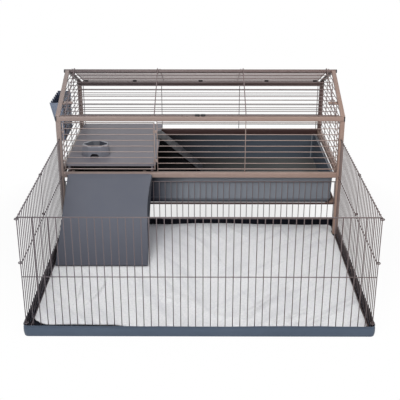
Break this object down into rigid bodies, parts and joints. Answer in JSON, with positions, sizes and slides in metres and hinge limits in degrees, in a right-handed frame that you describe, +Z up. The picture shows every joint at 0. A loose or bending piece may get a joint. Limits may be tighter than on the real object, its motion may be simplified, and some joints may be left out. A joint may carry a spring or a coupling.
{
  "type": "small animal enclosure",
  "caption": "Raised wire cage with a gable roof hatch, door, litter tray and hay rack, and a ramp down into a wire run on a soft floor with a mat.",
  "frame": {"origin": "on the floor, in the middle of the line of the cage's front posts", "axes": "+X to the right seen from the run, +Y from the run towards the back of the cage, +Z up"},
  "size_m": [1.2573, 1.4615, 0.6684],
  "materials": {
    "frame_paint": "satin rose-brown powder coat",
    "wire_paint": "satin rose-brown coating on welded wire",
    "black_plastic": "matt",
    "grey_plastic": "satin moulded",
    "tray_plastic": "satin moulded",
    "rack_plastic": "satin moulded",
    "canvas": "coated cloth, slight sheen",
    "fleece": "soft pile",
    "ramp_board": "bare board, hidden in its cover",
    "ramp_fabric": "satin woven cover"
  },
  "bodies": {
    "frame": {"front_left_post": "frame_paint", "front_right_post": "frame_paint", "rear_left_post": "frame_paint", "rear_right_post": "frame_paint", "front_eave_rail": "frame_paint", "rear_eave_rail": "frame_paint", "ridge_tube": "frame_paint", "front_left_rafter": "frame_paint", "front_right_rafter": "frame_paint", "rear_left_rafter": "frame_paint", "rear_right_rafter": "frame_paint", "front_sill": "frame_paint", "rear_sill": "frame_paint", "left_sill": "frame_paint", "right_sill": "frame_paint", "front_bottom_rail": "frame_paint", "rear_bottom_rail": "frame_paint", "left_tray_runner": "frame_paint", "right_tray_runner": "frame_paint", "platform_bearers": "frame_paint", "hatch_brackets": "frame_paint", "door_hinge_eyes": "frame_paint", "door_catches": "frame_paint", "ramp_hooks": "frame_paint", "rear_wall_panel": "wire_paint", "front_fixed_panel": "wire_paint", "left_end_panel": "wire_paint", "right_end_panel": "wire_paint", "rear_roof_panel": "wire_paint", "pen_front_panel": "wire_paint", "pen_left_front_panel": "wire_paint", "pen_left_rear_panel": "wire_paint", "pen_right_front_panel": "wire_paint", "pen_right_rear_panel": "wire_paint", "pen_back_panel": "wire_paint", "pen_hinge_rings": "wire_paint", "rail_end_caps": "black_plastic", "post_feet": "black_plastic", "sill_plugs": "black_plastic", "bracket_screws": "black_plastic", "eave_clips": "black_plastic", "rear_clips": "black_plastic", "platform": "grey_plastic", "pen_floor_canvas": "canvas", "fleece_mat": "fleece"},
    "roof_hatch": {"roof_hatch": "wire_paint"},
    "front_door": {"front_door": "wire_paint"},
    "exit_ramp": {"exit_ramp_board": "ramp_board", "exit_ramp_cover": "ramp_fabric", "ramp_rod": "frame_paint"},
    "litter_tray": {"litter_tray": "tray_plastic"},
    "food_bowl": {"food_bowl": "grey_plastic"},
    "hay_rack": {"hay_rack": "rack_plastic", "hay_rack_hooks": "rack_plastic"},
    "inner_ramp": {"inner_ramp": "grey_plastic"}
  },
  "joints": [
    {"name": "roof_hatch_hinge", "type": "hinge", "parent": "frame", "child": "roof_hatch", "pos_m": [0, 0.306, 0.655], "axis": [-1, 0, 0], "range_deg": [0, 110]},
    {"name": "front_door_hinge", "type": "hinge", "parent": "frame", "child": "front_door", "pos_m": [-0.573, -0.002, 0.406], "axis": [0, 0, -1], "range_deg": [0, 90]},
    {"name": "exit_ramp_hinge", "type": "hinge", "parent": "frame", "child": "exit_ramp", "pos_m": [-0.39, -0.019, 0.287], "axis": [-1, 0, 0], "range_deg": [0, 35]},
    {"name": "litter_tray_slide", "type": "slide", "parent": "frame", "child": "litter_tray", "axis": [0, 1, 0], "range_m": [0, 0.325]},
    {"name": "food_bowl_lift", "type": "slide", "parent": "frame", "child": "food_bowl", "axis": [0, 0, 1], "range_m": [0, 0.15]},
    {"name": "hay_rack_lift", "type": "slide", "parent": "frame", "child": "hay_rack", "axis": [0, 0, 1], "range_m": [0, 0.015]},
    {"name": "inner_ramp_lift", "type": "slide", "parent": "frame", "child": "inner_ramp", "axis": [0, 0, 1], "range_m": [0, 0.1]}
  ]
}
